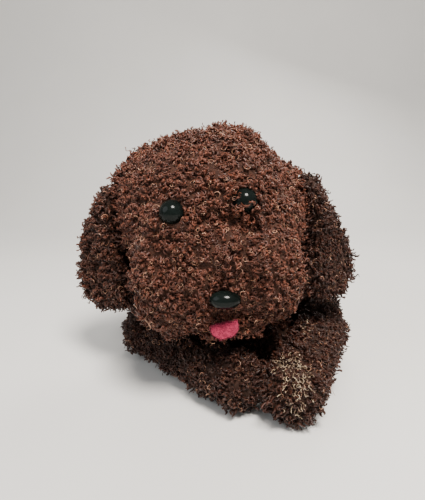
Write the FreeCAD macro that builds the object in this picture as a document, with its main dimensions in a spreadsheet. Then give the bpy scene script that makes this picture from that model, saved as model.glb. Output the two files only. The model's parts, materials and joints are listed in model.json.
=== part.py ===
import FreeCAD, Part
import math
import os

import Sketcher

# A soft toy dog lying on its belly, facing -Y, +X to the dog's own left, +Z up, in millimetres.
# The origin is on the surface it lies on, under the chest. Each stuffed piece is a cloth cover
# around a filling. The head and what is sewn to it are drawn upright about the skull's centre,
# then leaned as one to the dog's right.

doc = FreeCAD.newDocument("curly_dog")
dims = doc.addObject("Spreadsheet::Sheet", "dims")

DIMENSIONS = {
    # cloth and clearances
    "cloth": 4.0,
    "limb_cloth": 3.5,
    "fill_gap": 0.4,
    "seam_gap": 0.4,
    # torso: rump and chest, joined
    "rump_half_length": 70.0,
    "rump_radius": 64.5,
    "rump_y": 70.0,
    "rump_z": 54.0,
    "chest_half_width": 62.0,
    "chest_radius": 48.0,
    "chest_y": 12.0,
    "chest_z": 41.0,
    # head: skull and muzzle
    "skull_half_width": 76.0,
    "skull_radius": 66.0,
    "skull_x": -20.0,
    "skull_y": -55.0,
    "skull_z": 147.0,
    "head_lean": 10.0,
    "muzzle_width": 125.0,
    "muzzle_radius": 50.0,
    "muzzle_round": 24.0,
    "muzzle_x": -4.0,
    "muzzle_y": -27.0,
    "muzzle_z": -40.0,
    "lip_half_width": 24.0,
    "lip_radius": 7.8,
    "lip_y": -57.5,
    "lip_z": -83.0,
    # neck ball, placed from the skull's centre
    "neck_radius": 36.0,
    "neck_y": 50.0,
    "neck_z": -52.0,
    # eyes, nose and their washers
    "eye_radius": 9.0,
    "eye_x": 25.5,
    "eye_z": 13.0,
    "post_radius": 3.0,
    "post_length": 12.0,
    "washer_radius": 8.0,
    "washer_thick": 1.5,
    "washer_depth": 5.4,
    "nose_washer_depth": 8.4,
    "nose_half_width": 12.5,
    "nose_radius": 8.0,
    "nose_z": -50.0,
    # tongue
    "tongue_width": 21.0,
    "tongue_straight": 5.5,
    "tongue_thick": 2.5,
    "tongue_y": -70.4,
    "tongue_z": -68.0,
    "tongue_droop": 30.0,
    # ears
    "ear_top_radius": 14.0,
    "ear_tip_radius": 29.0,
    "ear_length": 66.0,
    "ear_half_thick": 11.0,
    "ear_layer_gap": 0.2,
    "ear_round": 8.0,
    "ear_turn": 45.0,
    # forelegs
    "shoulder_radius": 26.0,
    "elbow_radius": 25.0,
    "forearm_radius": 22.0,
    # hind legs
    "thigh_radius": 33.0,
    "foot_radius": 18.5,
    "foot_half_length": 42.0,
    "toe_radius": 18.0,
    # tail
    "tail_root_radius": 14.0,
    "tail_radius": 9.5,
    "tail_half_length": 30.0,
    "tail_rake": 30.0,
}

for row, (alias, value) in enumerate(DIMENSIONS.items(), start=1):
    dims.set(f"A{row}", alias)
    dims.set(f"B{row}", str(value))
    dims.setAlias(f"B{row}", alias)
doc.recompute()


def size(alias):
    return float(dims.get(alias))


# Points that limbs turn about and run through, for the dog's own left (+X) and right (-X).
SIDES = {
    "left": {
        "sign": 1,
        "ear_root": (73.2, -48.0, 163.0),
        "ear_splay": 9.0,
        "shoulder": (62.0, 0.0, 34.0),
        "elbow": (85.0, -28.0, 25.5),
        "forepaw": (43.0, -127.0, 22.4),
    },
    "right": {
        "sign": -1,
        "ear_root": (-114.5, -48.0, 153.0),
        "ear_splay": 3.0,
        "shoulder": (-62.0, 0.0, 34.0),
        "elbow": (-82.0, -28.0, 25.5),
        "forepaw": (-3.0, -112.0, 22.4),
    },
}
HIP = (60.0, 95.0, 36.0)
FOOT = (84.0, 68.0, 20.4)
TOES = (93.0, 42.0, 18.6)
TAIL_ROOT = (0.0, 132.0, 80.0)


def vector(point):
    return FreeCAD.Vector(*point)


def mirrored(point, sign):
    return (sign * point[0], point[1], point[2])


def head_placement():
    lean = FreeCAD.Rotation(FreeCAD.Vector(0, 1, 0), -size("head_lean"))
    centre = FreeCAD.Vector(size("skull_x"), size("skull_y"), size("skull_z"))
    return FreeCAD.Placement(centre, lean)


def neck_centre():
    """The point that the head turns, tilts and nods about."""
    return head_placement().multVec(FreeCAD.Vector(0, size("neck_y"), size("neck_z")))


def along(start, direction):
    """A placement at start whose own +Z points along direction."""
    turn = FreeCAD.Rotation(FreeCAD.Vector(0, 0, 1), direction)
    return FreeCAD.Placement(start, turn)


def bind(obj, **sizes):
    for name, formula in sizes.items():
        obj.setExpression(name.replace("__", "."), formula)
    return obj


def sphere(name, radius, centre, seam=(1, 0, 0)):
    """A ball whose seam runs down the side that faces along seam."""
    obj = doc.addObject("Part::Sphere", name)
    bind(obj, Radius=radius)
    turn = FreeCAD.Rotation(FreeCAD.Vector(1, 0, 0), vector(seam))
    obj.Placement = FreeCAD.Placement(vector(centre), turn)
    return obj


def cylinder(name, radius, height, placement):
    obj = doc.addObject("Part::Cylinder", name)
    bind(obj, Radius=radius, Height=height)
    obj.Placement = placement
    return obj


def fuse(name, shapes):
    obj = doc.addObject("Part::MultiFuse", name)
    obj.Shapes = shapes
    return obj


def cut(name, base, tools):
    """base with every tool taken away."""
    obj = base
    for index, tool in enumerate(tools):
        last = index == len(tools) - 1
        step = doc.addObject("Part::Cut", name if last else f"{name}_step{index}")
        step.Base = obj
        step.Tool = tool
        obj = step
    return obj


NODES = []


def node(obj, label, placement=None):
    obj.Label = label
    if placement is not None:
        obj.Placement = placement
    NODES.append(obj)
    return obj


def new_body(name):
    return doc.addObject("PartDesign::Body", name)


ORIGIN_POINT = (-1, 1)
X_AXIS = -1
Y_AXIS = -2
START, END, CENTRE = 1, 2, 3


def sketch_on(body, role, name):
    plane = next(f for f in body.Origin.OriginFeatures if f.Role == role)
    sketch = body.newObject("Sketcher::SketchObject", name)
    sketch.AttachmentSupport = (plane, "")
    sketch.MapMode = "FlatFace"
    return sketch


def dimension(sketch, name, formula, *constraint):
    index = sketch.addConstraint(Sketcher.Constraint(*constraint))
    sketch.renameConstraint(index, name)
    sketch.setExpression(f"Constraints.{name}", formula)


def line(sketch, start, end):
    return sketch.addGeometry(Part.LineSegment(vector((*start, 0)), vector((*end, 0))))


def arc(sketch, centre, radius, start_angle, end_angle):
    circle = Part.Circle(vector((*centre, 0)), FreeCAD.Vector(0, 0, 1), radius)
    return sketch.addGeometry(Part.ArcOfCircle(circle, start_angle, end_angle))


def chain(sketch, joints, kind):
    """Joins curve ends in pairs: kind is Coincident or Tangent."""
    for first, first_end, second, second_end in joints:
        sketch.addConstraint(Sketcher.Constraint(kind, first, first_end, second, second_end))


def capsule(name, half_length, radius, placement, angle=360):
    """A long ball: a straight barrel between two half balls, turned about the X axis."""
    body = new_body(name)
    long_half, round_half = body.evalExpression(half_length), body.evalExpression(radius)
    straight = long_half - round_half
    profile = sketch_on(body, "XY_Plane", f"{name}_profile")
    chord = line(profile, (-long_half, 0), (long_half, 0))
    right_end = arc(profile, (straight, 0), round_half, 0, math.pi / 2)
    top = line(profile, (straight, round_half), (-straight, round_half))
    left_end = arc(profile, (-straight, 0), round_half, math.pi / 2, math.pi)
    chain(profile, [(chord, END, right_end, START), (left_end, END, chord, START)], "Coincident")
    chain(profile, [(right_end, END, top, START), (top, END, left_end, START)], "Tangent")
    profile.addConstraint(Sketcher.Constraint("PointOnObject", chord, START, X_AXIS))
    profile.addConstraint(Sketcher.Constraint("PointOnObject", chord, END, X_AXIS))
    profile.addConstraint(Sketcher.Constraint("PointOnObject", right_end, CENTRE, X_AXIS))
    profile.addConstraint(
        Sketcher.Constraint("Symmetric", left_end, CENTRE, right_end, CENTRE, *ORIGIN_POINT)
    )
    profile.addConstraint(Sketcher.Constraint("Equal", left_end, right_end))
    dimension(profile, "radius", f"{radius}", "Radius", right_end, round_half)
    dimension(profile, "length", f"({half_length}) * 2", "DistanceX", chord, START, chord, END, 2 * long_half)
    turn = body.newObject("PartDesign::Revolution", f"{name}_turn")
    turn.Profile = profile
    turn.ReferenceAxis = (profile, ["H_Axis"])
    turn.Angle = angle
    body.Placement = placement
    return body


def lengthwise(centre, direction):
    """A placement at centre whose own +X points along direction."""
    return FreeCAD.Placement(centre, FreeCAD.Rotation(FreeCAD.Vector(1, 0, 0), direction))


# ---------------------------------------------------------------- eyes, washers, nose, tongue


def domed_button(name):
    """A half ball with a post behind it, turned about its own Z axis."""
    radius, post, length = size("eye_radius"), size("post_radius"), size("post_length")
    body = new_body(name)
    profile = sketch_on(body, "XZ_Plane", f"{name}_profile")
    dome = arc(profile, (0, 0), radius, 0, math.pi / 2)
    axis = line(profile, (0, radius), (0, -length))
    foot = line(profile, (0, -length), (post, -length))
    side = line(profile, (post, -length), (post, 0))
    rim = line(profile, (post, 0), (radius, 0))
    joints = [
        (dome, END, axis, START),
        (axis, END, foot, START),
        (foot, END, side, START),
        (side, END, rim, START),
        (rim, END, dome, START),
    ]
    chain(profile, joints, "Coincident")
    profile.addConstraint(Sketcher.Constraint("Coincident", dome, CENTRE, *ORIGIN_POINT))
    profile.addConstraint(Sketcher.Constraint("Vertical", axis))
    profile.addConstraint(Sketcher.Constraint("Vertical", side))
    profile.addConstraint(Sketcher.Constraint("Horizontal", foot))
    profile.addConstraint(Sketcher.Constraint("Horizontal", rim))
    profile.addConstraint(Sketcher.Constraint("PointOnObject", dome, END, Y_AXIS))
    profile.addConstraint(Sketcher.Constraint("PointOnObject", dome, START, X_AXIS))
    dimension(profile, "dome_radius", "dims.eye_radius", "Radius", dome, radius)
    dimension(profile, "post_radius", "dims.post_radius", "DistanceX", foot, START, foot, END, post)
    dimension(profile, "post_length", "dims.post_length", "DistanceY", side, START, side, END, length)
    turn = body.newObject("PartDesign::Revolution", f"{name}_turn")
    turn.Profile = profile
    turn.ReferenceAxis = (profile, ["V_Axis"])
    turn.Angle = 360
    profile.Visibility = False
    return body


def washer(name):
    """A flat ring that grips the post behind the cloth."""
    body = new_body(name)
    outline = sketch_on(body, "XY_Plane", f"{name}_outline")
    normal = FreeCAD.Vector(0, 0, 1)
    centre = FreeCAD.Vector(0, 0, 0)
    rim = outline.addGeometry(Part.Circle(centre, normal, size("washer_radius")))
    bore = outline.addGeometry(Part.Circle(centre, normal, size("post_radius")))
    outline.addConstraint(Sketcher.Constraint("Coincident", rim, CENTRE, *ORIGIN_POINT))
    outline.addConstraint(Sketcher.Constraint("Coincident", bore, CENTRE, *ORIGIN_POINT))
    dimension(outline, "rim_radius", "dims.washer_radius", "Radius", rim, size("washer_radius"))
    dimension(outline, "bore_radius", "dims.post_radius", "Radius", bore, size("post_radius"))
    pad = body.newObject("PartDesign::Pad", f"{name}_pad")
    pad.Profile = outline
    bind(pad, Length="dims.washer_thick")
    return body


def tongue_flap(name):
    """A felt flap with a round tip, drawn flat, root on the X axis and tip towards -Y."""
    half, straight = size("tongue_width") / 2, size("tongue_straight")
    body = new_body(name)
    outline = sketch_on(body, "XY_Plane", f"{name}_outline")
    root = line(outline, (half, 0), (-half, 0))
    right = line(outline, (-half, 0), (-half, -straight))
    tip = arc(outline, (0, -straight), half, math.pi, 2 * math.pi)
    left = line(outline, (half, -straight), (half, 0))
    joints = [(root, END, right, START), (left, END, root, START)]
    chain(outline, joints, "Coincident")
    chain(outline, [(right, END, tip, START), (tip, END, left, START)], "Tangent")
    outline.addConstraint(Sketcher.Constraint("PointOnObject", tip, CENTRE, Y_AXIS))
    outline.addConstraint(Sketcher.Constraint("PointOnObject", root, START, X_AXIS))
    outline.addConstraint(Sketcher.Constraint("Horizontal", root))
    dimension(outline, "half_width", "dims.tongue_width / 2", "Radius", tip, half)
    dimension(outline, "straight", "dims.tongue_straight", "DistanceY", left, START, left, END, straight)
    pad = body.newObject("PartDesign::Pad", f"{name}_pad")
    pad.Profile = outline
    bind(pad, Length="dims.tongue_thick")
    return body


# ---------------------------------------------------------------- ears


def ear_layer(name, outward):
    """Half of an ear's thickness, drawn in the YZ plane and hanging from its round top."""
    top, tip, length = size("ear_top_radius"), size("ear_tip_radius"), size("ear_length")
    slant = math.asin((tip - top) / length)
    out_x, out_y = math.cos(slant), math.sin(slant)
    body = new_body(name)
    outline = sketch_on(body, "YZ_Plane", f"{name}_outline")
    cap = arc(outline, (0, 0), top, slant, math.pi - slant)
    back = line(outline, (-top * out_x, top * out_y), (-tip * out_x, tip * out_y - length))
    bowl = arc(outline, (0, -length), tip, math.pi - slant, 2 * math.pi + slant)
    front = line(outline, (tip * out_x, tip * out_y - length), (top * out_x, top * out_y))
    joints = [
        (cap, END, back, START),
        (back, END, bowl, START),
        (bowl, END, front, START),
        (front, END, cap, START),
    ]
    chain(outline, joints, "Tangent")
    outline.addConstraint(Sketcher.Constraint("Coincident", cap, CENTRE, *ORIGIN_POINT))
    outline.addConstraint(Sketcher.Constraint("PointOnObject", bowl, CENTRE, Y_AXIS))
    dimension(outline, "top_radius", "dims.ear_top_radius", "Radius", cap, top)
    dimension(outline, "tip_radius", "dims.ear_tip_radius", "Radius", bowl, tip)
    dimension(outline, "length", "dims.ear_length", "DistanceY", bowl, CENTRE, cap, CENTRE, length)
    half_gap = size("ear_layer_gap") / 2
    outline.AttachmentOffset = FreeCAD.Placement(
        FreeCAD.Vector(0, 0, outward * half_gap), FreeCAD.Rotation()
    )
    pad = body.newObject("PartDesign::Pad", f"{name}_pad")
    pad.Profile = outline
    pad.Reversed = outward < 0
    bind(pad, Length="dims.ear_half_thick")
    doc.recompute()
    rounded = body.newObject("PartDesign::Fillet", f"{name}_rounded")
    rounded.Base = (pad, [face_towards(pad.Shape, FreeCAD.Vector(outward, 0, 0))])
    bind(rounded, Radius="dims.ear_round")
    return body


def face_towards(shape, direction):
    """The name of the flat face that looks along direction."""
    for index, face in enumerate(shape.Faces, start=1):
        flat = isinstance(face.Surface, Part.Plane)
        if flat and (face.normalAt(0, 0) - direction).Length < 1e-6:
            return f"Face{index}"
    raise RuntimeError("no flat face looks that way")


# ---------------------------------------------------------------- head


def muzzle_barrel(name, inset):
    """A barrel across the face with rounded ends: its half outline is turned about the X axis."""
    half_width, radius, rounding = size("muzzle_width") / 2, size("muzzle_radius"), size("muzzle_round")
    across, up = half_width - rounding, radius - rounding
    body = new_body(name)
    profile = sketch_on(body, "XY_Plane", f"{name}_profile")
    chord = line(profile, (-half_width, 0), (half_width, 0))
    right_end = line(profile, (half_width, 0), (half_width, up))
    right_arc = arc(profile, (across, up), rounding, 0, math.pi / 2)
    top = line(profile, (across, radius), (-across, radius))
    left_arc = arc(profile, (-across, up), rounding, math.pi / 2, math.pi)
    left_end = line(profile, (-half_width, up), (-half_width, 0))
    chain(profile, [(chord, END, right_end, START), (left_end, END, chord, START)], "Coincident")
    bends = [
        (right_end, END, right_arc, START),
        (right_arc, END, top, START),
        (top, END, left_arc, START),
        (left_arc, END, left_end, START),
    ]
    chain(profile, bends, "Tangent")
    profile.addConstraint(Sketcher.Constraint("PointOnObject", chord, START, X_AXIS))
    profile.addConstraint(Sketcher.Constraint("PointOnObject", chord, END, X_AXIS))
    profile.addConstraint(Sketcher.Constraint("Vertical", right_end))
    profile.addConstraint(Sketcher.Constraint("Vertical", left_end))
    profile.addConstraint(Sketcher.Constraint("Equal", right_arc, left_arc))
    profile.addConstraint(Sketcher.Constraint("Symmetric", left_arc, CENTRE, right_arc, CENTRE, Y_AXIS))
    dimension(profile, "rounding", f"dims.muzzle_round - {inset}", "Radius", right_arc, rounding)
    dimension(
        profile, "radius", f"dims.muzzle_radius - {inset}", "DistanceY", *ORIGIN_POINT, top, START, radius
    )
    dimension(
        profile, "width", f"dims.muzzle_width - {inset} * 2",
        "DistanceX", chord, START, chord, END, 2 * half_width,
    )
    turn = body.newObject("PartDesign::Revolution", f"{name}_turn")
    turn.Profile = profile
    turn.ReferenceAxis = (profile, ["H_Axis"])
    turn.Angle = 360
    centre = FreeCAD.Vector(size("muzzle_x"), size("muzzle_y"), size("muzzle_z"))
    body.Placement = FreeCAD.Placement(centre, FreeCAD.Rotation())
    return body


def skull(name, grow):
    half_length = f"dims.skull_half_width + {grow}"
    return capsule(name, half_length, f"dims.skull_radius + {grow}", FreeCAD.Placement())


def eye_seat(sign):
    """Where an eye's flat back meets the skull, and the way it looks out."""
    radius = size("skull_radius")
    ball = FreeCAD.Vector(sign * (size("skull_half_width") - radius), 0, 0)
    x, z = sign * size("eye_x"), size("eye_z")
    point = FreeCAD.Vector(x, -math.sqrt(radius**2 - (x - ball.x) ** 2 - z**2), z)
    return point, (point - ball).normalize()


def build_head():
    placement = head_placement()
    neck = (0, size("neck_y"), size("neck_z"))
    neck_socket = sphere("head_neck_socket", "dims.neck_radius + dims.seam_gap", neck)
    seats = {side: eye_seat(SIDES[side]["sign"]) for side in SIDES}
    muzzle_front = size("muzzle_y") - size("muzzle_radius")
    nose_seat = (FreeCAD.Vector(0, muzzle_front, size("nose_z")), FreeCAD.Vector(0, -1, 0))

    bores = {}
    pockets = {}
    for name, (point, outward) in {**seats, "nose": nose_seat}.items():
        inward = along(point + outward, -outward)
        bores[name] = cylinder(f"{name}_bore", "dims.post_radius + 0.2", "dims.cloth * 3", inward)
        pockets[name] = cylinder(f"{name}_pocket", "dims.washer_radius + 0.5", "dims.post_length + 2", inward)

    shell = cut("skull_shell", skull("skull_outside", "0"), [skull("skull_inside", "-dims.cloth")])
    cover = cut("head_cover", shell, [neck_socket, bores["left"], bores["right"]])
    node(cover, "head_cover", placement)
    stuffing = skull("skull_stuffing", "-dims.cloth - dims.fill_gap")
    filling = cut("head_filling", stuffing, [neck_socket, pockets["left"], pockets["right"]])
    node(filling, "head_filling", placement)

    muzzle_outside = muzzle_barrel("muzzle_outside", "0")
    muzzle_inside = muzzle_barrel("muzzle_inside", "dims.cloth")
    against_skull = skull("skull_clear", "0.2")
    cover = cut("muzzle_cover", muzzle_outside, [against_skull, muzzle_inside, neck_socket, bores["nose"]])
    node(cover, "muzzle_cover", placement)
    muzzle_stuffing = muzzle_barrel("muzzle_stuffing", "(dims.cloth + dims.fill_gap)")
    skull_backing = skull("skull_backing", "dims.fill_gap")
    filling = cut("muzzle_filling", muzzle_stuffing, [skull_backing, neck_socket, pockets["nose"]])
    node(filling, "muzzle_filling", placement)

    lip_centre = FreeCAD.Placement(FreeCAD.Vector(0, size("lip_y"), size("lip_z")), FreeCAD.Rotation())
    lip = capsule("lip_roll", "dims.lip_half_width", "dims.lip_radius", lip_centre)
    node(cut("lower_lip", lip, [muzzle_outside]), "lower_lip", placement)

    for name, (point, outward) in seats.items():
        button = domed_button(f"{name}_eye")
        node(button, f"{name}_eye", placement * along(point, outward))
    for name, (point, outward) in {**seats, "nose": nose_seat}.items():
        label = "nose_washer" if name == "nose" else f"{name}_eye_washer"
        depth = size("nose_washer_depth" if name == "nose" else "washer_depth") + size("washer_thick")
        node(washer(label), label, placement * along(point - outward * depth, outward))

    build_nose(placement, nose_seat[0])
    flap = tongue_flap("tongue")
    droop = FreeCAD.Rotation(FreeCAD.Vector(1, 0, 0), size("tongue_droop"))
    root = FreeCAD.Vector(0, size("tongue_y"), size("tongue_z"))
    node(flap, "tongue", placement * FreeCAD.Placement(root, droop))


def build_nose(placement, seat):
    """The front half of a wide ball, with a post behind it."""
    seated = FreeCAD.Placement(seat, FreeCAD.Rotation(FreeCAD.Vector(1, 0, 0), 90))
    dome = capsule("nose_dome", "dims.nose_half_width", "dims.nose_radius", seated, 180)
    forward = FreeCAD.Vector(0, -1, 0)
    start = seat - forward * size("post_length")
    post = cylinder("nose_post", "dims.post_radius", "dims.post_length + 2", along(start, forward))
    node(fuse("nose", [dome, post]), "nose", placement)


def build_ears():
    for side, facts in SIDES.items():
        sign = facts["sign"]
        hang = FreeCAD.Rotation(FreeCAD.Vector(0, 1, 0), -sign * facts["ear_splay"])
        swivel = FreeCAD.Rotation(FreeCAD.Vector(0, 0, 1), -sign * size("ear_turn"))
        placement = FreeCAD.Placement(vector(facts["ear_root"]), hang * swivel)
        for layer, outward in (("outer", sign), ("inner", -sign)):
            name = f"{side}_ear_{layer}"
            node(ear_layer(name, outward), name, placement)


# ---------------------------------------------------------------- neck and torso


def build_neck():
    centre = tuple(neck_centre())
    outside = sphere("neck_outside", "dims.neck_radius", centre)
    inside = sphere("neck_inside", "dims.neck_radius - dims.cloth", centre)
    node(cut("neck_cover", outside, [inside]), "neck_cover")
    node(sphere("neck_filling", "dims.neck_radius - dims.cloth - dims.fill_gap", centre), "neck_filling")


def torso_block(name, inset):
    """Rump and chest joined, before the belly is cut flat."""
    rump = capsule(
        f"{name}_rump",
        f"dims.rump_half_length - {inset}",
        f"dims.rump_radius - {inset}",
        lengthwise(FreeCAD.Vector(0, size("rump_y"), size("rump_z")), FreeCAD.Vector(0, 1, 0)),
    )
    chest = capsule(
        f"{name}_chest",
        f"dims.chest_half_width - {inset}",
        f"dims.chest_radius - {inset}",
        lengthwise(FreeCAD.Vector(0, size("chest_y"), size("chest_z")), FreeCAD.Vector(1, 0, 0)),
    )
    ground = doc.addObject("Part::Box", f"{name}_ground")
    bind(ground, Length="dims.rump_radius * 3", Width="dims.rump_half_length * 5", Height="dims.rump_z")
    depth = {"0": 0.0, "dims.cloth": size("cloth")}.get(inset, size("cloth") + size("fill_gap"))
    corner = FreeCAD.Vector(-1.5 * size("rump_radius"), -2 * size("rump_half_length"), depth - size("rump_z"))
    ground.Placement = FreeCAD.Placement(corner, FreeCAD.Rotation())
    return cut(name, fuse(f"{name}_lobes", [rump, chest]), [ground])


def limb_sockets(name, extra):
    """A clear ball around each point that the head, a leg or the tail turns about."""
    sockets = [sphere(f"{name}_neck", f"dims.neck_radius + {extra}", tuple(neck_centre()))]
    for side, facts in SIDES.items():
        shoulder, hip = facts["shoulder"], mirrored(HIP, facts["sign"])
        sockets.append(sphere(f"{name}_{side}_shoulder", f"dims.shoulder_radius + {extra}", shoulder))
        sockets.append(sphere(f"{name}_{side}_hip", f"dims.thigh_radius + {extra}", hip))
    sockets.append(sphere(f"{name}_tail", f"dims.tail_root_radius + {extra}", TAIL_ROOT))
    return sockets


def build_torso():
    outside = torso_block("torso_outside", "0")
    inside = torso_block("torso_inside", "dims.cloth")
    stuffing = torso_block("torso_stuffing", "(dims.cloth + dims.fill_gap)")
    sockets = limb_sockets("torso_socket", "dims.seam_gap")
    node(cut("body_cover", outside, [inside, *sockets]), "body_cover")
    node(cut("body_filling", stuffing, sockets), "body_filling")


# ---------------------------------------------------------------- legs and tail


def foreleg_solid(name, points, inset):
    """A shoulder ball and an elbow ball, and a long forearm whose round end is the paw."""
    elbow, paw = vector(points["elbow"]), vector(points["forepaw"])
    run = paw - elbow
    forearm = capsule(
        f"{name}_forearm",
        f"{run.Length / 2} + dims.forearm_radius - {inset}",
        f"dims.forearm_radius - {inset}",
        lengthwise((elbow + paw) / 2, run),
    )
    seams = {"shoulder": (-points["sign"], 1, 0), "elbow": (points["sign"], 1, 0)}
    balls = [
        sphere(f"{name}_{joint}_ball", f"dims.{joint}_radius - {inset}", points[joint], seam)
        for joint, seam in seams.items()
    ]
    return fuse(name, [*balls, forearm])


def hind_leg_solid(name, sign, inset):
    """A round thigh and a long foot beside the body, pointing forward."""
    hip, foot, toes = (vector(mirrored(point, sign)) for point in (HIP, FOOT, TOES))
    thigh = sphere(f"{name}_thigh", f"dims.thigh_radius - {inset}", tuple(hip), (-sign, 1, 0))
    sole = capsule(
        f"{name}_sole",
        f"dims.foot_half_length - {inset}",
        f"dims.foot_radius - {inset}",
        lengthwise(foot, toes - foot),
    )
    toe_ball = sphere(f"{name}_toe_ball", f"dims.toe_radius - {inset}", tuple(toes), tuple(toes - foot))
    return fuse(name, [thigh, sole, toe_ball])


def tail_solid(name, inset):
    """A short tail that rises and leans back from its root."""
    rake = math.radians(size("tail_rake"))
    upward = FreeCAD.Vector(0, math.sin(rake), math.cos(rake))
    middle = vector(TAIL_ROOT) + upward * size("tail_half_length") * 0.6
    root = sphere(f"{name}_root", f"dims.tail_root_radius - {inset}", TAIL_ROOT)
    plume = capsule(
        f"{name}_plume",
        f"dims.tail_half_length - {inset}",
        f"dims.tail_radius - {inset}",
        lengthwise(middle, upward),
    )
    return fuse(name, [root, plume])


def stuffed(label, solid):
    """A cover and its filling. solid(name, inset) draws the outer form shrunk by inset."""
    outside = solid(f"{label}_outside", "0")
    inside = solid(f"{label}_inside", "dims.limb_cloth")
    node(cut(f"{label}_cover", outside, [inside]), f"{label}_cover")
    node(solid(f"{label}_filling", "(dims.limb_cloth + dims.fill_gap)"), f"{label}_filling")


def build_limbs():
    for side, facts in SIDES.items():
        stuffed(f"{side}_foreleg", lambda name, inset: foreleg_solid(name, facts, inset))
        stuffed(f"{side}_hind_leg", lambda name, inset: hind_leg_solid(name, facts["sign"], inset))
    stuffed("tail", tail_solid)


# ---------------------------------------------------------------- build, check, write

build_torso()
build_neck()
build_head()
build_ears()
build_limbs()
doc.recompute()

for obj in doc.Objects:
    if "Invalid" in obj.State or "Error" in obj.State:
        raise RuntimeError(f"{obj.Label} failed: {obj.State}")

os.makedirs("parts", exist_ok=True)
for obj in NODES:
    if obj.Shape.isNull() or not obj.Shape.isValid():
        raise RuntimeError(f"{obj.Label} has no valid shape")
for obj in NODES:
    box = obj.Shape.BoundBox
    print(f"{obj.Label}: {len(obj.Shape.Solids)} solid, {obj.Shape.Volume:.0f} mm3, "
          f"x {box.XMin:.0f}..{box.XMax:.0f}, y {box.YMin:.0f}..{box.YMax:.0f}, "
          f"z {box.ZMin:.1f}..{box.ZMax:.0f}")
    obj.Shape.exportStep(f"parts/{obj.Label}.step")
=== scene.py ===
"""Looks of a curly toy dog, lying on its belly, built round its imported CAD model."""

import itertools
import json
import math

import bmesh
import bpy
import numpy as np
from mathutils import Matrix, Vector
from mathutils.bvhtree import BVHTree
from mathutils.kdtree import KDTree


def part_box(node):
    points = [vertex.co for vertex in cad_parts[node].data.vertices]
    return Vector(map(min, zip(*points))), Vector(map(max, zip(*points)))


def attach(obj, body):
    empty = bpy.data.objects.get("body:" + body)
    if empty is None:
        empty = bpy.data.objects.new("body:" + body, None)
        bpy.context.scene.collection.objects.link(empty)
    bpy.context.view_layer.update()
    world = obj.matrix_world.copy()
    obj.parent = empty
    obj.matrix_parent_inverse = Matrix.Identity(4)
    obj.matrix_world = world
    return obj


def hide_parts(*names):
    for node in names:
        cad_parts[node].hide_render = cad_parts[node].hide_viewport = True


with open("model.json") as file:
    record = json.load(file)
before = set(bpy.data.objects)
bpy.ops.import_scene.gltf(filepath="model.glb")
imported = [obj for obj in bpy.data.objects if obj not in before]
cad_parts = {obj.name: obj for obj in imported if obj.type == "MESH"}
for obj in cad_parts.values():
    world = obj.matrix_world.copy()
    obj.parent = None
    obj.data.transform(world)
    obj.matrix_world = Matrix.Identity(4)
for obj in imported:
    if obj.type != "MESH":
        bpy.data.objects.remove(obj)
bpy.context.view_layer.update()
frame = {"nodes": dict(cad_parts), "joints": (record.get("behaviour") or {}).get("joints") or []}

MM = 0.001

# Each curl is a tube with this many sides and, unless told otherwise, this many rings along it.
SIDES = 3
RINGS = 10

# Nothing goes under the floor: skins, the middles of curls and their sides stay above these heights.
SKIN_FLOOR = 0.6 * MM
CURL_FLOOR = 0.9 * MM
TUBE_FLOOR = 0.2 * MM


# ---------------------------------------------------------------- camera


def make_camera():
    """In front of the dog and a little to its right, as high as its head, looking 15 degrees down."""
    data = bpy.data.cameras.new("view")
    data.sensor_fit = "HORIZONTAL"
    data.sensor_width = 36.0
    data.lens = 35.3
    camera = bpy.data.objects.new("view", data)
    camera.location = (-0.020, -0.400, 0.205)
    camera.rotation_euler = (math.radians(75), 0, 0)
    bpy.context.scene.collection.objects.link(camera)
    bpy.context.scene.camera = camera


make_camera()


# ---------------------------------------------------------------- materials


def material(name, **values):
    """A new material with these values on its shader, and the shader's node tree."""
    made = bpy.data.materials.new(name)
    made.use_nodes = True
    shader = made.node_tree.nodes["Principled BSDF"]
    for socket, value in values.items():
        shader.inputs[socket.replace("_", " ")].default_value = value
    return made, made.node_tree, shader


def add(tree, kind, **settings):
    """A new node with these settings."""
    made = tree.nodes.new(kind)
    for key, value in settings.items():
        setattr(made, key, value)
    return made


def ramp(tree, factor, stops):
    """Colours spread along a factor from 0 to 1."""
    made = add(tree, "ShaderNodeValToRGB")
    elements = made.color_ramp.elements
    while len(elements) < len(stops):
        elements.new(0.5)
    for element, (place, colour) in zip(elements, stops):
        element.position = place
        element.color = (*colour, 1)
    tree.links.new(factor, made.inputs["Fac"])
    return made.outputs["Color"]


def noise(tree, scale, detail=3.0, rough=0.6):
    """Noise fixed to the object itself."""
    where = add(tree, "ShaderNodeTexCoord")
    made = add(tree, "ShaderNodeTexNoise")
    made.inputs["Scale"].default_value = scale
    made.inputs["Detail"].default_value = detail
    made.inputs["Roughness"].default_value = rough
    tree.links.new(where.outputs["Object"], made.inputs["Vector"])
    return made.outputs["Fac"]


def bump(tree, shader, height, strength, distance):
    """Small relief on a shader."""
    made = add(tree, "ShaderNodeBump")
    made.inputs["Strength"].default_value = strength
    made.inputs["Distance"].default_value = distance
    tree.links.new(height, made.inputs["Height"])
    tree.links.new(made.outputs["Normal"], shader.inputs["Normal"])


def multiplied(tree, first, second):
    """One colour times another."""
    made = add(tree, "ShaderNodeMix", data_type="RGBA", blend_type="MULTIPLY")
    factor, first_colour, second_colour, result = 0, 6, 7, 2
    made.inputs[factor].default_value = 1.0
    tree.links.new(first, made.inputs[first_colour])
    tree.links.new(second, made.inputs[second_colour])
    return made.outputs[result]


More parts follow.
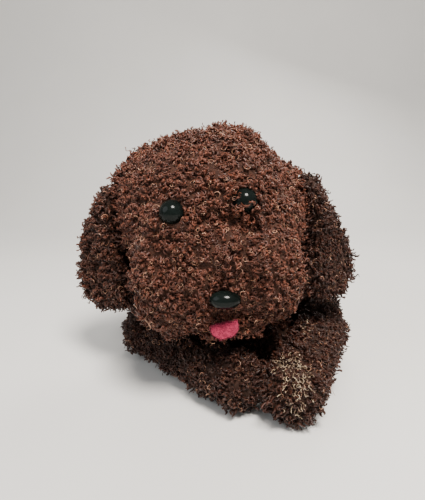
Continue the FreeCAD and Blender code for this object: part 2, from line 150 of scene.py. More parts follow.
def yarn(name, root, middle, tip, rough, sheen):
    """Curled yarn: darker at the root and lighter at the tip, as painted shade down in the pile, and each
    curl with its own value of random tone and painted tuft light.
    """
    made, tree, shader = material(name, Roughness=rough, Sheen_Weight=sheen, Sheen_Roughness=0.4)
    shader.inputs["Specular IOR Level"].default_value = 0.38
    shader.inputs["Sheen Tint"].default_value = (0.85, 0.5, 0.36, 1)
    shade = add(tree, "ShaderNodeAttribute", attribute_name="shade")
    strand = add(tree, "ShaderNodeAttribute", attribute_name="strand")
    # Painted shade: the ramp from root to tip darkens each curl down in the pile.
    along = ramp(tree, shade.outputs["Fac"], [(0.0, root), (0.5, middle), (1.0, tip)])
    # Each curl's value is part random tone and part painted light, lighter at the middle of its tuft.
    darker, even, lighter = (0.55, 0.5, 0.5), (1, 1, 1), (1.5, 1.38, 1.3)
    tone_and_tuft_light = ramp(tree, strand.outputs["Fac"], [(0.0, darker), (0.6, even), (1.0, lighter)])
    varied = multiplied(tree, along, tone_and_tuft_light)
    patches = ramp(tree, noise(tree, 55.0), [(0.35, (0.78, 0.76, 0.78)), (0.65, (1.15, 1.12, 1.08))])
    tree.links.new(multiplied(tree, varied, patches), shader.inputs["Base Color"])
    bump(tree, shader, noise(tree, 2600.0, 2.0), 0.35, 0.0004)
    return made


def backing(name, dark, light):
    """The looped cloth between the curls, as dark as the curls' roots: painted shade down in the pile."""
    made, tree, shader = material(name, Roughness=0.9, Sheen_Weight=0.1, Sheen_Roughness=0.5)
    shader.inputs["Sheen Tint"].default_value = (0.85, 0.5, 0.36, 1)
    shader.inputs["Specular IOR Level"].default_value = 0.25
    tree.links.new(ramp(tree, noise(tree, 420.0), [(0.35, dark), (0.7, light)]), shader.inputs["Base Color"])
    bump(tree, shader, noise(tree, 900.0, 4.0), 0.8, 0.002)
    return made


# Colours at the root, the middle and the tip, then roughness and sheen.
# crown, mid and dark are one yarn: crown as it looks lit on the head, mid and dark the same yarn with
# painted shade for the parts that lie in shade.
YARN = {
    "crown": yarn(
        "crown_yarn", (0.030, 0.0085, 0.0046), (0.082, 0.0230, 0.0120), (0.134, 0.0430, 0.0235), 0.45, 0.06
    ),
    "dark": yarn(
        "shaded_yarn", (0.012, 0.0029, 0.0012), (0.029, 0.0071, 0.0030), (0.052, 0.0142, 0.0060), 0.45, 0.03
    ),
    "mid": yarn(
        "half_shaded_yarn", (0.018, 0.0046, 0.0023), (0.048, 0.0130, 0.0063), (0.086, 0.0265, 0.013), 0.45, 0.05
    ),
    # Painted highlight: the pale glint colour stands in for glints of light on the shiny fibres.
    "glint": yarn(
        "painted_glint_yarn", (0.100, 0.040, 0.022), (0.360, 0.180, 0.110), (0.700, 0.450, 0.310), 0.22, 0.1
    ),
    "cream": yarn(
        "cream_yarn", (0.100, 0.062, 0.038), (0.400, 0.310, 0.200), (0.680, 0.580, 0.430), 0.35, 0.2
    ),
}
# Painted shade: both backings are the yarn darkened as down in the pile; the dark one is also shaded for the
# parts that lie in shade.
BACKING = {
    "crown": backing("crown_backing", (0.020, 0.007, 0.004), (0.060, 0.022, 0.012)),
    "dark": backing("shaded_backing", (0.010, 0.0035, 0.002), (0.030, 0.011, 0.006)),
}


def gloss_black(name):
    """Polished black plastic with a faint green cast."""
    made, tree, shader = material(name, IOR=1.22)
    black = ramp(tree, noise(tree, 90.0), [(0.3, (0.002, 0.003, 0.0025)), (0.8, (0.005, 0.008, 0.007))])
    tree.links.new(black, shader.inputs["Base Color"])
    rough = add(tree, "ShaderNodeMapRange")
    rough.inputs["To Min"].default_value = 0.10
    rough.inputs["To Max"].default_value = 0.20
    tree.links.new(noise(tree, 500.0), rough.inputs["Value"])
    tree.links.new(rough.outputs["Result"], shader.inputs["Roughness"])
    return made


def felt(name):
    """Mottled pink felt."""
    made, tree, shader = material(name, Roughness=0.9, Sheen_Weight=0.15, Sheen_Roughness=0.4)
    shader.inputs["Sheen Tint"].default_value = (1, 0.4, 0.5, 1)
    shader.inputs["Specular IOR Level"].default_value = 0.25
    deep, bright = (0.16, 0.010, 0.030), (0.34, 0.026, 0.068)
    mottled = ramp(tree, noise(tree, 700.0, 5.0, 0.7), [(0.3, deep), (0.7, bright)])
    tree.links.new(mottled, shader.inputs["Base Color"])
    bump(tree, shader, noise(tree, 2200.0, 4.0, 0.8), 0.7, 0.0006)
    return made


def plain(name, low, high, rough, scale=300.0):
    """A plain material between two colours."""
    made, tree, shader = material(name, Roughness=rough)
    tree.links.new(ramp(tree, noise(tree, scale), [(0.3, low), (0.7, high)]), shader.inputs["Base Color"])
    bump(tree, shader, noise(tree, scale * 4), 0.3, 0.0004)
    return made


GLOSS = gloss_black("black_gloss")
FELT = felt("pink_felt")
PLASTIC = plain("white_plastic", (0.62, 0.62, 0.60), (0.72, 0.72, 0.70), 0.4)
STUFFING = plain("fibre_filling", (0.72, 0.71, 0.68), (0.85, 0.84, 0.82), 0.95)


# ---------------------------------------------------------------- cloth skins


def placed(name, mesh):
    """An object of this mesh in the scene."""
    made = bpy.data.objects.new(name, mesh)
    bpy.context.scene.collection.objects.link(made)
    return made


def shown(name, verts, faces, surface):
    """A smooth-shaded object of these points and faces."""
    mesh = bpy.data.meshes.new(name)
    mesh.from_pydata(verts, [], faces)
    mesh.materials.append(surface)
    mesh.update()
    mesh.polygons.foreach_set("use_smooth", np.ones(len(mesh.polygons), bool))
    return placed(name, mesh)


def gathered(nodes):
    """The points and faces of these CAD nodes together."""
    verts, faces, base = [], [], 0
    for name in nodes:
        mesh = frame["nodes"][name].data
        verts += [tuple(v.co) for v in mesh.vertices]
        faces += [tuple(base + i for i in p.vertices) for p in mesh.polygons]
        base += len(mesh.vertices)
    return verts, faces


def hashed(points, cell, seed):
    """A smooth random value, mostly from 0 to 1, at each point, its lumps about one cell across."""
    rng = np.random.default_rng(seed)
    count = 24
    waves = rng.normal(size=(count, 3))
    waves /= np.linalg.norm(waves, axis=1)[:, None]
    phases = rng.uniform(0, 2 * math.pi, count)
    wavelength = cell * 1.6
    total = np.sin(points @ waves.T * (2 * math.pi / wavelength) + phases).sum(1)
    usual_swing = 4.5
    return 0.5 + total / (2 * usual_swing)


def skin(name, nodes, surface, voxel=3.0, shrink=3.0, rounds=6, lumps=1.2, seed=1, shape=None):
    """One closed cloth surface round these nodes, a little inside them, because the curls stand on it."""
    verts, faces = gathered(nodes)
    made = shown(name, verts, faces, surface)
    remesh = made.modifiers.new("even", "REMESH")
    remesh.mode = "VOXEL"
    remesh.voxel_size = voxel * MM
    smooth = made.modifiers.new("soft", "SMOOTH")
    smooth.iterations = rounds
    smooth.factor = 0.5
    evaluated = made.evaluated_get(bpy.context.evaluated_depsgraph_get())
    flat = bpy.data.meshes.new_from_object(evaluated)
    made.modifiers.clear()
    made.data = flat
    keep_outside(made)
    mesh = made.data
    points, normals = arrays(mesh)
    lumpy = (hashed(points, 14 * MM, seed) - 0.5) * lumps - shrink
    points = points + normals * (lumpy * MM)[:, None]
    if shape is not None:
        points = shape(points)
    points[:, 2] = np.maximum(points[:, 2], SKIN_FLOOR)
    mesh.vertices.foreach_set("co", points.astype(np.float32).ravel())
    mesh.materials.clear()
    mesh.materials.append(surface)
    mesh.polygons.foreach_set("use_smooth", np.ones(len(mesh.polygons), bool))
    mesh.update()
    return made


def arrays(mesh):
    """The points of a mesh and their normals."""
    points = np.empty(len(mesh.vertices) * 3, np.float32)
    normals = np.empty(len(mesh.vertices) * 3, np.float32)
    mesh.vertices.foreach_get("co", points)
    mesh.vertex_normals.foreach_get("vector", normals)
    return points.reshape(-1, 3).astype(float), normals.reshape(-1, 3).astype(float)


def keep_outside(made):
    """Drops the surfaces that close in the hollows inside a cloth shell."""
    work = bmesh.new()
    work.from_mesh(made.data)
    work.verts.ensure_lookup_table()
    left = set(work.verts)
    islands = []
    while left:
        stack = [next(iter(left))]
        island = set()
        while stack:
            vertex = stack.pop()
            if vertex in island:
                continue
            island.add(vertex)
            for edge in vertex.link_edges:
                other = edge.other_vert(vertex)
                if other not in island:
                    stack.append(other)
        left -= island
        islands.append(island)
    largest = max(islands, key=len)
    drop = [v for island in islands if island is not largest for v in island]
    bmesh.ops.delete(work, geom=drop, context="VERTS")
    work.to_mesh(made.data)
    work.free()


# ---------------------------------------------------------------- curls


def unit(v):
    """The same directions, each of length 1."""
    return v / np.maximum(np.linalg.norm(v, axis=-1, keepdims=True), 1e-12)


def solid_of(made):
    """The surface of a skin, for finding what lies inside it, with its lowest and highest corner."""
    mesh = made.data
    points, _ = arrays(mesh)
    surface = BVHTree.FromPolygons(points.tolist(), [tuple(p.vertices) for p in mesh.polygons])
    return surface, points.min(0), points.max(0)


def buried(solid, place, depth):
    """Which points lie more than depth millimetres inside that skin.

    A ray from a point inside crosses the skin an odd number of times.
    """
    surface, low, high = solid
    ray = Vector((0.31, 0.22, 0.93)).normalized()
    most_crossings = 12
    past_the_face = 1e-6
    result = np.zeros(len(place), bool)
    for i in np.nonzero(((place > low) & (place < high)).all(1))[0]:
        point = Vector(place[i])
        _, _, _, distance = surface.find_nearest(point)
        if distance <= depth * MM:
            continue
        crossings = 0
        start = point
        while crossings < most_crossings:
            hit, _, _, _ = surface.ray_cast(start, ray)
            if hit is None:
                break
            crossings += 1
            start = hit + ray * past_the_face
        result[i] = crossings % 2 == 1
    return result


def spread(place, gap):
    """Which of these points to keep so that no two are nearer than that gap."""
    tree = KDTree(len(place))
    for i, point in enumerate(place):
        tree.insert(point, i)
    tree.balance()
    gone = np.zeros(len(place), bool)
    kept = []
    for i, point in enumerate(place):
        if not gone[i]:
            kept.append(i)
            gone[[found[1] for found in tree.find_range(point, gap)]] = True
    return np.array(kept)


def roots(made, spacing, seed, rivals=(), keep=None):
    """Points spread evenly over a skin, with its normals there.

    None lie on the underside at the floor, inside a rival skin or where keep says no.
    """
    rng = np.random.default_rng(seed)
    mesh = made.data
    mesh.calc_loop_triangles()
    tris = np.empty(len(mesh.loop_triangles) * 3, np.int32)
    mesh.loop_triangles.foreach_get("vertices", tris)
    tris = tris.reshape(-1, 3)
    points, normals = arrays(mesh)
    a, b, c = (points[tris[:, i]] for i in range(3))
    area = np.linalg.norm(np.cross(b - a, c - a), axis=1) / 2
    tries = 5.0
    nearest = spacing * MM * 0.6
    wanted = int(area.sum() / (spacing * MM) ** 2 * tries)
    pick = rng.choice(len(tris), wanted, p=area / area.sum())
    u = rng.random(wanted)
    v = rng.random(wanted)
    over = u + v > 1
    u[over] = 1 - u[over]
    v[over] = 1 - v[over]
    w = 1 - u - v
    place = a[pick] * w[:, None] + b[pick] * u[:, None] + c[pick] * v[:, None]
    na, nb, nc = (normals[tris[pick, i]] for i in range(3))
    out = unit(na * w[:, None] + nb * u[:, None] + nc * v[:, None])
    kept = spread(place, nearest)
    place, out = place[kept], out[kept]
    underneath = (place[:, 2] < 4 * MM) & (out[:, 2] < -0.5)
    good = ~underneath
    if keep is not None:
        good &= keep(place)
    place, out = place[good], out[good]
    for solid, depth in rivals:
        clear = ~buried(solid, place, depth)
        place, out = place[clear], out[clear]
    return place, out


# Large uneven numbers, which turn a cell's place in the grid into a value that looks random.
SCATTER = np.array([[127.1, 269.5, 113.5], [311.7, 183.3, 271.9], [74.7, 246.1, 124.6]])
SCATTER_SCALE = 43758.5453


def tufted(place, out, tuft, pull, rng):
    """The way each curl leans: towards the middle of its tuft, along the surface."""
    cells = np.floor(place / (tuft * MM)).astype(np.int64)
    best = np.full(len(place), 1e9)
    towards = np.zeros_like(place)
    for neighbour in itertools.product((-1, 0, 1), repeat=3):
        cell = cells + neighbour
        jitter = np.sin(cell @ SCATTER) * SCATTER_SCALE
        jitter -= np.floor(jitter)
        gap = (cell + jitter) * (tuft * MM) - place
        far = np.linalg.norm(gap, axis=1)
        near = far < best
        best[near] = far[near]
        towards[near] = gap[near]
    towards -= out * (towards * out).sum(1)[:, None]
    unevenness = 0.7 * MM
    return towards * pull + rng.normal(size=place.shape) * unevenness


def curls(name, place, out, surface, seed, height=(2.8, 5.8), coil=(0.7, 1.4), turns=(1.0, 1.9),
          thick=(0.7, 1.12), tuft=8.0, pull=0.8, rings=RINGS, taller=1.0):
    """Yarn curls standing on a skin, each a short uneven coil, as one mesh.

    Height, coil and thick are ranges in millimetres for a curl's height, the radius of its coil and that
    of its yarn. Curls bunch into tufts of the tuft size, and pull says how far they lean together.
    """
    rng = np.random.default_rng(seed)
    n = len(place)
    s = np.linspace(0, 1, rings)[None, :, None]
    gather = tufted(place, out, tuft, pull, rng)
    lean = gather[:, None, :]
    first = unit(np.cross(out, rng.normal(size=(n, 3))))[:, None, :]
    second = np.cross(out, first[:, 0])[:, None, :]
    tuft_edge = pull * tuft * MM * 0.7
    from_tuft = np.clip(np.linalg.norm(gather, axis=1) / tuft_edge, 0, 1)
    crowded = 1.32 - 0.64 * from_tuft
    tall = rng.uniform(*height, n) * crowded * (0.75 + 0.5 * hashed(place, 16 * MM, 7))
    tall = (tall * taller)[:, None, None] * MM
    wide = rng.uniform(*coil, n)[:, None, None] * MM
    spin = rng.uniform(*turns, n)[:, None, None] * rng.choice([-1, 1], n)[:, None, None]
    start = rng.uniform(0, 2 * math.pi, n)[:, None, None]
    angle = start + 2 * math.pi * spin * s
    reach = wide * (0.35 + 0.65 * np.sin(math.pi * np.clip(s * 1.15, 0, 1)))
    sunk = np.minimum(1.2 * MM, tall * 0.4)
    rise = tall * (1 - (1 - s) ** 1.6) - sunk
    centre = place[:, None, :] + out[:, None, :] * rise + lean * s**1.3
    centre = centre + reach * (np.cos(angle) * first + np.sin(angle) * second)
    tilt = unit(rng.normal(size=(n, 3)))[:, None, :]
    centre = centre + tilt * (tall * 0.2) * s**2
    centre[:, :, 2] = np.maximum(centre[:, :, 2], CURL_FLOOR)
    run = unit(np.gradient(centre, axis=1))
    side = unit(np.cross(run, tilt + first * 0.5))
    other = np.cross(run, side)
    fat = rng.uniform(*thick, n)[:, None, None] * MM
    fat = fat * (0.8 + 0.35 * np.sin(s * 9.0 + start)) * np.sqrt(np.clip(1.04 - s**6, 0.02, 1))
    ring = np.linspace(0, 2 * math.pi, SIDES, endpoint=False)
    round_cos = np.cos(ring)[None, None, :, None]
    round_sin = np.sin(ring)[None, None, :, None]
    spoke = round_cos * side[:, :, None, :] + round_sin * other[:, :, None, :]
    verts = (centre[:, :, None, :] + fat[:, :, None, :] * spoke).reshape(-1, 3)
    verts[:, 2] = np.maximum(verts[:, 2], TUBE_FLOOR)
    # Half random tone, half painted light: curls near the middle of a tuft, where the pile stands tallest,
    # are lighter.
    tone_and_tuft_light = 0.5 * rng.random(n) + 0.8 * (crowded - 0.68)
    return tubes(name, verts, n, rings, surface, tone_and_tuft_light)


def tube_faces(n, rings):
    """The corners of all the side faces of n tubes, and of the caps at their feet and tips."""
    base = np.arange(n)[:, None, None] * rings * SIDES
    along = np.arange(rings - 1)[None, :, None] * SIDES
    around = np.arange(SIDES)[None, None, :]
    a = base + along + around
    b = base + along + (around + 1) % SIDES
    quads = np.stack([a, b, b + SIDES, a + SIDES], -1).reshape(-1, 4)
    start = np.arange(n)[:, None] * rings * SIDES
    foot = start + np.arange(SIDES)[None, ::-1]
    tip = start + (rings - 1) * SIDES + np.arange(SIDES)[None, :]
    return quads, np.concatenate([foot, tip])


def tube_map(n, rings):
    """A texture map in which each tube has a square of its own, with a margin."""
    grid = math.ceil(math.sqrt(n))
    cell = np.arange(n)
    corner = np.stack([cell % grid, cell // grid], -1) / grid
    margin, inner = 0.06, 0.88
    u0 = np.broadcast_to(np.arange(rings - 1)[:, None], (rings - 1, SIDES)) / (rings - 1)
    u1 = u0 + 1 / (rings - 1)
    v0 = np.broadcast_to(np.arange(SIDES)[None, :], (rings - 1, SIDES)) / SIDES
    v1 = v0 + 1 / SIDES
    around = [np.stack(pair, -1) for pair in ((u0, v0), (u0, v1), (u1, v1), (u1, v0))]
    local = np.stack(around, 2)
    sides = corner[:, None, None, None, :] + (margin + inner * local[None]) / grid
    ends = []
    for far in (0.0, 1.0):
        spot = np.stack([np.full(SIDES, far), np.arange(SIDES) / SIDES], -1)
        ends.append(corner[:, None, :] + (margin + inner * spot[None]) / grid)
    return np.concatenate([part.reshape(-1) for part in (sides, *ends)])


def tubes(name, verts, n, rings, surface, tone_and_tuft_light):
    """The mesh of n closed tubes of that many rings, each with its own value of random tone and painted tuft
    light.
    """
    quads, caps = tube_faces(n, rings)
    mesh = bpy.data.meshes.new(name)
    mesh.vertices.add(len(verts))
    mesh.vertices.foreach_set("co", verts.astype(np.float32).ravel())
    corners = np.concatenate([quads.ravel(), caps.ravel()]).astype(np.int32)
    mesh.loops.add(len(corners))
    mesh.loops.foreach_set("vertex_index", corners)
    mesh.polygons.add(len(quads) + len(caps))
    cap_starts = len(quads) * 4 + np.arange(len(caps)) * SIDES
    starts = np.concatenate([np.arange(len(quads)) * 4, cap_starts])
    mesh.polygons.foreach_set("loop_start", starts.astype(np.int32))
    mesh.polygons.foreach_set("use_smooth", np.ones(len(starts), bool))
    mesh.update(calc_edges=True)
    shade = np.broadcast_to(np.linspace(0, 1, rings)[None, :, None], (n, rings, SIDES))
    strand = np.broadcast_to(tone_and_tuft_light[:, None, None], (n, rings, SIDES))
    for label, values in (("shade", shade), ("strand", strand)):
        layer = mesh.attributes.new(label, "FLOAT", "POINT")
        layer.data.foreach_set("value", values.ravel().astype(np.float32))
    mesh.uv_layers.new(name="OFBake").data.foreach_set("uv", tube_map(n, rings).astype(np.float32))
    mesh.materials.append(surface)
    return placed(name, mesh)


# ---------------------------------------------------------------- the dog's parts

# For each body, the CAD nodes that its skin covers and replaces, and the copy of the one yarn on it: crown
# as lit, mid and dark with painted shade.
HIDES = {
    "torso": (["body_cover", "body_filling"], "mid"),
    "neck": (["neck_cover"], "mid"),
    "head": (["head_cover", "head_filling", "muzzle_cover", "muzzle_filling", "lower_lip"], "crown"),
    "left_ear": (["left_ear_outer", "left_ear_inner"], "dark"),
    "right_ear": (["right_ear_outer", "right_ear_inner"], "mid"),
    "left_foreleg": (["left_foreleg_cover", "left_foreleg_filling"], "dark"),
    "right_foreleg": (["right_foreleg_cover", "right_foreleg_filling"], "dark"),
    "left_hind_leg": (["left_hind_leg_cover", "left_hind_leg_filling"], "mid"),
    "right_hind_leg": (["right_hind_leg_cover", "right_hind_leg_filling"], "mid"),
    "tail": (["tail_cover", "tail_filling"], "mid"),
}
# The usual distance between curls in millimetres, and how many times the usual height they are.
SPACING = {"head": 2.8, "torso": 3.9, "neck": 4.0, "left_ear": 2.8, "right_ear": 2.8, "left_foreleg": 3.0,
           "right_foreleg": 3.0, "left_hind_leg": 3.4, "right_hind_leg": 3.4, "tail": 3.0}
LONG = {"left_ear": 1.3, "right_ear": 1.3, "left_foreleg": 1.25, "right_foreleg": 1.25, "tail": 1.6}


def middle(node):
    """The middle of a CAD node's box."""
    low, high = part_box(node)
    return (np.array(low) + np.array(high)) / 2


def outward_of(node):
    """The way a button faces: from its washer, behind the cloth, to the button."""
    return unit(middle(node) - middle(f"{node}_washer"))


# In millimetres, the radius that stays free of curls round each eye and how far the centre of that radius
# is above the eye's middle, and the radius that stays free round the nose.
BARE_EYES = (("right_eye", 9.1, 0.0), ("left_eye", 5.4, 2.2))
BARE_NOSE = 6.4


def clear_of_face(place):
    """Keeps the curls off the eyes, the nose and the tongue; they half hide the left eye."""
    good = np.ones(len(place), bool)
    for name, radius, lift in BARE_EYES:
        eye = middle(name) + (0, 0, lift * MM)
        good &= np.linalg.norm((place - eye) * (1, 0.6, 1), axis=1) > radius * MM
    gap = (place - middle("nose")) * (1 / 1.4, 0.5, 1)
    good &= np.linalg.norm(gap, axis=1) > BARE_NOSE * MM
    low, high = (np.array(corner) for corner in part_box("tongue"))
    low -= (3 * MM, 1 * MM, 1 * MM)
    high -= (6 * MM, -1 * MM, 6 * MM)
    inside = ((place > low) & (place < high)).all(1)
    return good & ~inside


# The head leans to the dog's right. SKULL is the middle of the head and UPRIGHT takes the lean away.
LEAN = math.radians(10)
HEAD_LOW, HEAD_HIGH = (np.array(corner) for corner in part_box("head_cover"))
SKULL = np.array([(HEAD_LOW[0] + HEAD_HIGH[0]) / 2, HEAD_LOW[1] + 0.066, (HEAD_LOW[2] + HEAD_HIGH[2]) / 2])
UPRIGHT = np.array([[math.cos(LEAN), 0, math.sin(LEAN)], [0, 1, 0], [-math.sin(LEAN), 0, math.cos(LEAN)]])
JOINT_AT = {joint["name"]: np.array(joint["pos_m"]) for joint in frame["joints"]}


def step(value, low, high):
    """Rises smoothly from 0 at low to 1 at high."""
    share = np.clip((value - low) / (high - low), 0, 1)
    return share * share * (3 - 2 * share)


def swollen(points, centre, full, none, push):
    """Moves the points near a centre: all the way within full millimetres, not at all beyond none."""
    near = 1 - step(np.linalg.norm(points - centre, axis=1), full * MM, none * MM)
    return points + near[:, None] * np.array(push)


def head_shape(points):
    """The crown falls away on the dog's left, and the muzzle's top edge stands out under a crease.

    The skin also swells where the ears join and over the eyes' washers. The first part is in millimetres
    from the middle of the upright head; the centres and pushes of the swellings are in metres.
    """
    local = (points - SKULL) @ UPRIGHT / MM
    x, y, z = local.T
    drop = step(x, 8, 60) * step(z, 5, 50)
    local = local * (1 - 0.15 * drop)[:, None]
    front = step(-y, 30, 55)
    across = 1 - step(np.abs(x + 4), 38, 60)
    shelf = step(-z, -3, 5) * (1 - step(-z, 12, 34))
    crease = np.exp(-(((z - 6.5) / 3.5) ** 2))
    local[:, 1] -= front * across * (7.0 * shelf - 1.5 * crease)
    made = local * MM @ UPRIGHT.T + SKULL
    left, right = JOINT_AT["left_ear_lift"], JOINT_AT["right_ear_lift"]
    made = swollen(made, left + (-0.018, 0.012, 0.016), 10, 42, (0.007, 0, 0.016))
    made = swollen(made, right + (0.018, 0.010, 0.030), 10, 48, (-0.007, 0, 0.006))
    made = swollen(made, right + (0.004, 0.005, 0.0), 10, 36, (-0.005, 0, 0.002))
    for name, cover in (("right_eye", 0.0032), ("left_eye", 0.0020)):
        made = swollen(made, middle(f"{name}_washer"), 9, 18, outward_of(name) * cover)
    return made


def ear_shape(points):
    """The top of an ear narrows and bends in to the head."""
    side = math.copysign(1, points[0, 0])
    reach, length, power = (0.027, 0.080, 1.8) if side > 0 else (0.016, 0.050, 1.6)
    deep = np.clip((points[:, 2].max() - points[:, 2]) / length, 0, 1)
    across = points[:, 0] * side
    outer = step(across, np.min(across), np.max(across))
    points[:, 0] -= side * reach * (1 - deep) ** power * (0.35 + 0.65 * outer)
    foot = np.array([points[:, 0].mean() - side * 0.012, points[:, 1].mean(), points[:, 2].min() + 0.026])
    return swollen(points, foot, 10, 44, (-side * 0.008, 0, 0))


def left_foreleg_shape(points):
    """The paw is wider inwards and the shoulder is fuller."""
    paw = middle("left_foreleg_cover") * (1, 0, 0) + (0, points[:, 1].min() + 0.024, 0.020)
    points = swollen(points, paw - (0.030, 0, 0), 12, 34, (-0.005, 0, 0))
    shoulder = JOINT_AT["left_foreleg_swing"] + (0.020, -0.006, 0.024)
    return swollen(points, shoulder, 12, 42, (0.009, 0, 0.008))


def right_foreleg_shape(points):
    """The paw reaches a little further under the chin."""
    paw = np.array([points[:, 0].max(), points[:, 1].min() + 0.022, 0.020])
    return swollen(points, paw, 12, 34, (0.004, 0, 0))


def torso_shape(points):
    """A full chest, down to the floor between the forelegs."""
    chest = np.array([0.030, points[:, 1].min() + 0.012, 0.020])
    return swollen(points, chest, 14, 58, (0.008, -0.030, -0.006))


def head_height(place):
    """Longer curls where the ears join the head, beside the cheeks, and round the half-hidden left eye."""
    longer = np.ones(len(place))
    for name in ("left_ear_lift", "right_ear_lift"):
        root = JOINT_AT[name]
        far = np.linalg.norm(place - root, axis=1)
        longer += 0.9 * (1 - step(far, 0.018, 0.045))
        beside = np.linalg.norm((place - root)[:, :2], axis=1)
        longer += 0.8 * (1 - step(beside, 0.02, 0.05)) * step(root[2] - place[:, 2], 0.01, 0.04)
    longer += 0.8 * (1 - step(np.linalg.norm(place - middle("left_eye"), axis=1), 0.010, 0.018))
    return np.minimum(longer, 2.0)


def heights(body, place, out):
    """How much longer than usual each curl is: longer where it faces the head or the other legs."""
    if body == "head":
        return head_height(place)
    longer = np.full(len(place), LONG.get(body, 1.0))
    if body.endswith("_ear"):
        longer += 1.8 * step(-out[:, 0] * math.copysign(1, place[0, 0]), 0.1, 0.8)
    if body.endswith("_foreleg"):
        inward = step(-out[:, 0] * (1 if body.startswith("left") else -1), 0.2, 0.8)
        longer += 0.45 * inward * (1 - step(place[:, 1], -0.03, 0.0))
    return longer


SHAPES = {"head": head_shape, "left_ear": ear_shape, "right_ear": ear_shape, "torso": torso_shape,
          "left_foreleg": left_foreleg_shape, "right_foreleg": right_foreleg_shape}
PIECE_LIMIT = 3000
SPRIG_SHARE = 0.12
WISP_SHARE = 0.14
# How deep, in millimetres, a curl may start inside the torso's skin and inside any other body's.
TORSO_DEPTH = 6.0
OTHER_DEPTH = 1.0
# The first seed of each kind; the index of the body is added to it.
ROOT_SEED, CURL_SEED, SPRIG_SEED, WISP_SEED, CHOICE_SEED = 100, 500, 600, 700, 900


def body_hide(body, index):
    """The skin of one body, finer and nearer the CAD surface where the body is thin."""
    nodes, tint = HIDES[body]
    thin = body in ("left_ear", "right_ear", "tail")
    voxel, shrink, lumps = (2.5, 2.5, 1.2) if thin else (3.0, 3.2, 2.6)
    # Every body but the head gets the backing with painted shade.
    surface = BACKING["crown" if tint == "crown" else "dark"]
    return skin(f"{body}_hide", nodes, surface, voxel=voxel, shrink=shrink, lumps=lumps, seed=index + 1,
                shape=SHAPES.get(body))


def rivals_of(body):
    """The other skins, inside which this body's curls are left out, each with the depth that is allowed."""
    return [(solid, TORSO_DEPTH if other == "torso" else OTHER_DEPTH)
            for other, solid in solids.items() if other != body]


def loose_yarn(body, index, tint, place, out):
    """Loose sprigs, and thin wisps whose pale colour is a painted highlight for glints, among the curls of
    one body.
    """
    rng = np.random.default_rng(CHOICE_SEED + index)
    few = rng.random(len(place)) < SPRIG_SHARE
    tallest = 8.0 * LONG.get(body, 1.0) ** 0.5
    sprigs = curls(f"{body}_sprigs", place[few], out[few], YARN[tint], SPRIG_SEED + index,
                   height=(5.0, tallest), coil=(1.3, 2.3), turns=(1.6, 2.6), thick=(0.42, 0.7), pull=0.25,
                   rings=17)
    fine = rng.random(len(place)) < WISP_SHARE
    wisps = curls(f"{body}_wisps", place[fine], out[fine], YARN["glint"], WISP_SEED + index,
                  height=(4.0, 7.0), coil=(1.4, 2.6), turns=(1.0, 2.0), thick=(0.14, 0.24), pull=0.3,
                  rings=15)
    return [sprigs, wisps]


def body_fur(body, index):
    """All the yarn that stands on one body's skin, in pieces of at most PIECE_LIMIT curls."""
    tint = HIDES[body][1]
    keep = clear_of_face if body == "head" else None
    place, out = roots(hides[body], SPACING[body], ROOT_SEED + index, rivals_of(body), keep)
    order = np.argsort(place[:, 0], kind="stable")
    place, out = place[order], out[order]
    parts = max(1, math.ceil(len(place) / PIECE_LIMIT))
    longer = heights(body, place, out)
    pieces = []
    for part in range(parts):
        chosen = slice(part * len(place) // parts, (part + 1) * len(place) // parts)
        seed = CURL_SEED + 10 * index + part
        pieces.append(curls(f"{body}_curls_{part + 1}", place[chosen], out[chosen], YARN[tint], seed,
                            taller=longer[chosen]))
    return pieces + loose_yarn(body, index, tint, place, out)


hides = {body: body_hide(body, index) for index, body in enumerate(HIDES)}
solids = {body: solid_of(hide) for body, hide in hides.items()}
for index, (body, (nodes, tint)) in enumerate(HIDES.items()):
    for piece in body_fur(body, index) + [hides[body]]:
        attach(piece, body)
    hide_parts(*nodes)


def cream_patch():
    """Cream strands combed forwards over the left paw, and fewer of them up the shin."""
    low, _ = (np.array(corner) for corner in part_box("left_foreleg_cover"))
    place, out = roots(hides["left_foreleg"], 2.6, 970)
    paw_top = np.array([low[0] + 0.018, low[1] + 0.014, 0.040])
    shin_top = np.array([low[0] + 0.042, low[1] + 0.085, 0.046])
    from_paw = np.linalg.norm((place - paw_top) * (1.6, 0.7, 0.8), axis=1)
    from_shin = np.linalg.norm((place - shin_top) * (1.6, 0.8, 1.0), axis=1)
    share = np.maximum(1.5 - from_paw / 0.014, 0.9 - from_shin / 0.012)
    chosen = np.random.default_rng(971).random(len(place)) < share
    combed = unit(out[chosen] * 0.7 + (0.05, -0.45, -0.5))
    foot = place[chosen] + out[chosen] * 3 * MM
    return curls("left_foreleg_cream", foot, combed, YARN["cream"], 972, height=(3.5, 8.0), coil=(0.5, 1.1),
                 turns=(0.5, 1.5), thick=(0.18, 0.36), pull=0.3, rings=14)


cream = cream_patch()
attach(cream, "left_foreleg")

stuffing = skin("neck_stuffing", ["neck_filling"], STUFFING, voxel=2.5, shrink=6.5, lumps=0.3, seed=40)
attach(stuffing, "neck_core")
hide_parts("neck_filling")


# ---------------------------------------------------------------- eyes, nose and tongue


def dome_profile(share):
    """How far out and forward a dome's outline is, from its top (share 0) round its rim to its back (1)."""
    rim, behind = 0.8, 0.2
    if share <= rim:
        angle = share / rim * math.pi / 2
        return math.sin(angle), math.cos(angle)
    angle = (share - rim) / behind * math.pi / 2
    return 1 - 0.12 * (1 - math.cos(angle)), -0.16 * math.sin(angle)


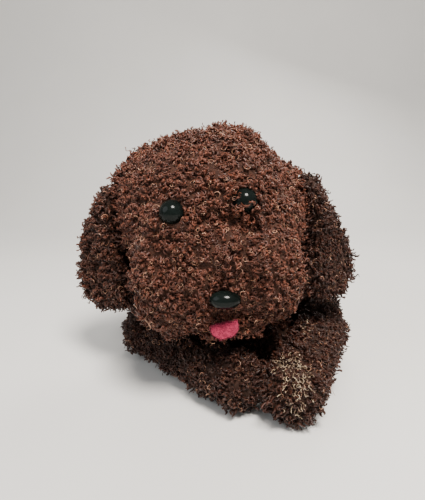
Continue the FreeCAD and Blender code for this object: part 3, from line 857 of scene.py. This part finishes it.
def dome(name, centre, outward, half_width, half_height, proud, surface, rows=20, columns=48):
    """A polished dome with a rolled rim, facing outward. Its centre is the middle of its rim."""
    forward = Vector(outward).normalized()
    side = Vector((0, 0, 1)).cross(forward).normalized()
    up = forward.cross(side)
    verts, faces = [], []
    for row in range(rows):
        reach, rise = dome_profile(row / (rows - 1))
        for column in range(columns):
            turn = 2 * math.pi * column / columns
            point = (
                Vector(centre)
                + side * (half_width * reach * math.cos(turn))
                + up * (half_height * reach * math.sin(turn))
                + forward * (proud * rise)
            )
            verts.append(tuple(point))
    for row in range(rows - 1):
        for column in range(columns):
            after = (column + 1) % columns
            upper, lower = row * columns, (row + 1) * columns
            faces.append((upper + column, lower + column, lower + after, upper + after))
    faces.append(tuple((rows - 1) * columns + column for column in range(columns)))
    return shown(name, verts, faces, surface)


# In millimetres: the radius of an eye, how far its rim stands out from its washer, half the width and half
# the height of the nose, how far its top stands out from its rim, and its rim's depth behind the CAD front.
EYE_RADIUS = 9.0
EYE_SEAT = {"left_eye": 2.4, "right_eye": 5.9}
NOSE_HALF_WIDTH, NOSE_HALF_HEIGHT, NOSE_PROUD = 11.0, 6.6, 7.6
NOSE_DEPTH = 8.0

for name, stand in EYE_SEAT.items():
    facing = outward_of(name)
    seat = middle(f"{name}_washer") + facing * stand * MM
    radius = EYE_RADIUS * MM
    button = dome(f"{name}_dome", seat, facing, radius, radius, radius, GLOSS)
    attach(button, "head")
    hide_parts(name)

nose_at = middle("nose")
nose_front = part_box("nose")[0][1]
nose_seat = np.array([nose_at[0], nose_front + NOSE_DEPTH * MM, nose_at[2]])
tip = dome("nose_tip", nose_seat, (0, -1, 0), NOSE_HALF_WIDTH * MM, NOSE_HALF_HEIGHT * MM, NOSE_PROUD * MM,
           GLOSS)
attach(tip, "head")
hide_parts("nose")


def tongue_shape(points):
    """Smaller than it is cut, set a little to the dog's right and hanging lower on that side."""
    centre = middle("tongue")
    local = points - centre
    local[:, 2] += 0.12 * local[:, 0] + 0.0005 * np.sin(local[:, 0] / 0.0013)
    return centre + local * (0.9, 1, 0.66) - (0.0036, 0, 0.0028)


tongue = skin("tongue_felt", ["tongue"], FELT, voxel=0.7, shrink=0.0, rounds=2, lumps=0.9, seed=60,
              shape=tongue_shape)
nap_place, nap_out = roots(tongue, 0.75, 61)
nap = curls("tongue_nap", nap_place, nap_out, FELT, 62, height=(0.5, 1.1), coil=(0.1, 0.3), turns=(0.3, 0.8),
            thick=(0.10, 0.18), tuft=2.5, pull=0.2, rings=6)
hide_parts("tongue")
for piece in (tongue, nap):
    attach(piece, "tongue")

for name in ("left_eye_washer", "right_eye_washer", "nose_washer"):
    mesh = frame["nodes"][name].data
    mesh.materials.clear()
    mesh.materials.append(PLASTIC)


# ---------------------------------------------------------------- room


def make_room():
    """A pale floor that curves up into a wall behind the dog."""
    floor, tree, shader = material("pale_floor", Roughness=0.8)
    shade = ramp(tree, noise(tree, 3.0), [(0.3, (0.66, 0.65, 0.63)), (0.7, (0.70, 0.69, 0.67))])
    tree.links.new(shade, shader.inputs["Base Color"])
    verts, faces = [], []
    profile = [(-3.0, 0.0), (0.5, 0.0)]
    bend, pieces = 0.6, 12
    for piece in range(1, pieces + 1):
        angle = piece / pieces * math.pi / 2
        profile.append((0.5 + bend * math.sin(angle), bend - bend * math.cos(angle)))
    profile.append((1.1, 3.0))
    for y, z in profile:
        verts += [(-4, y, z), (4, y, z)]
    for i in range(len(profile) - 1):
        faces.append((2 * i, 2 * i + 1, 2 * i + 3, 2 * i + 2))
    sweep = shown("floor", verts, faces, floor)


def lamp(name, place, towards, size, power, colour):
    """A round area light, its size in metres and its power in watts."""
    data = bpy.data.lights.new(name, "AREA")
    data.shape = "DISK"
    data.size = size
    data.energy = power
    data.color = colour
    made = bpy.data.objects.new(name, data)
    made.location = place
    made.rotation_euler = (Vector(towards) - Vector(place)).to_track_quat("-Z", "Y").to_euler()
    bpy.context.scene.collection.objects.link(made)


make_room()
lamp("key", (0.15, -0.52, 0.97), (0, -0.03, 0.1), 0.35, 27.0, (1.0, 0.94, 0.87))
lamp("fill", (-0.9, -0.5, 0.7), (0, 0, 0.1), 0.9, 5.0, (0.92, 0.96, 1.0))
lamp("rim", (0.3, 0.7, 0.8), (0, 0, 0.1), 0.6, 8.0, (1.0, 0.96, 0.9))
world = bpy.data.worlds.new("studio")
bpy.context.scene.world = world
world.use_nodes = True
background = world.node_tree.nodes["Background"]
background.inputs["Color"].default_value = (1, 0.99, 0.97, 1)
background.inputs["Strength"].default_value = 0.42
